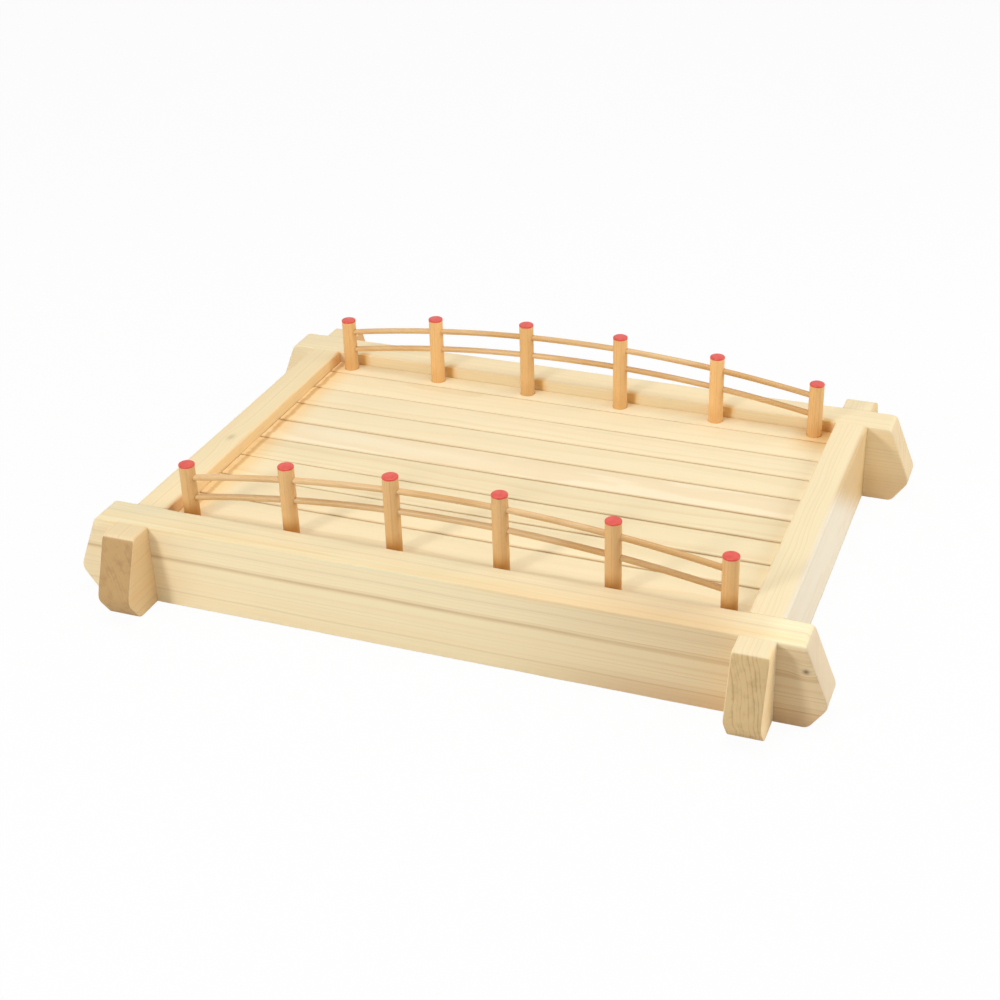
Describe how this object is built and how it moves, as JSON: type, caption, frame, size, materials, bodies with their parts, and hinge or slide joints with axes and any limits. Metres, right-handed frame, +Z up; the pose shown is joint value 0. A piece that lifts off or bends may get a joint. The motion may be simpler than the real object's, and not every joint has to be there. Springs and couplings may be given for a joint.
{
  "type": "wooden bridge tray",
  "caption": "Pale wooden serving tray shaped like a footbridge: halved beams with shaped ends, a sunk plank deck, and arched dowel-and-bamboo balustrades with red post tops.",
  "frame": {"origin": "centre of the tray's outline on the surface that it stands on", "axes": "+X along the long beams and the balustrades, +Y from the front beam to the back beam, +Z up"},
  "size_m": [0.458, 0.342, 0.096],
  "materials": {
    "beam_wood": "planed, unfinished pale softwood",
    "deck_wood": "planed, unfinished pale softwood",
    "cleat_wood": "sawn pale softwood",
    "post_wood": "turned brown dowel",
    "rail_bamboo": "smooth bamboo rod",
    "red_paint": "red paint on the post tops"
  },
  "bodies": {
    "root": {"front_beam": "beam_wood", "back_beam": "beam_wood", "left_beam": "beam_wood", "right_beam": "beam_wood", "deck_plank_1": "deck_wood", "deck_plank_2": "deck_wood", "deck_plank_3": "deck_wood", "deck_plank_4": "deck_wood", "deck_plank_5": "deck_wood", "deck_plank_6": "deck_wood", "deck_plank_7": "deck_wood", "deck_plank_8": "deck_wood", "deck_plank_9": "deck_wood", "left_cleat": "cleat_wood", "middle_batten": "cleat_wood", "right_cleat": "cleat_wood", "front_post_1": "post_wood", "front_post_2": "post_wood", "front_post_3": "post_wood", "front_post_4": "post_wood", "front_post_5": "post_wood", "front_post_6": "post_wood", "back_post_1": "post_wood", "back_post_2": "post_wood", "back_post_3": "post_wood", "back_post_4": "post_wood", "back_post_5": "post_wood", "back_post_6": "post_wood", "front_upper_rail": "rail_bamboo", "front_lower_rail": "rail_bamboo", "back_upper_rail": "rail_bamboo", "back_lower_rail": "rail_bamboo"}
  },
  "joints": []
}
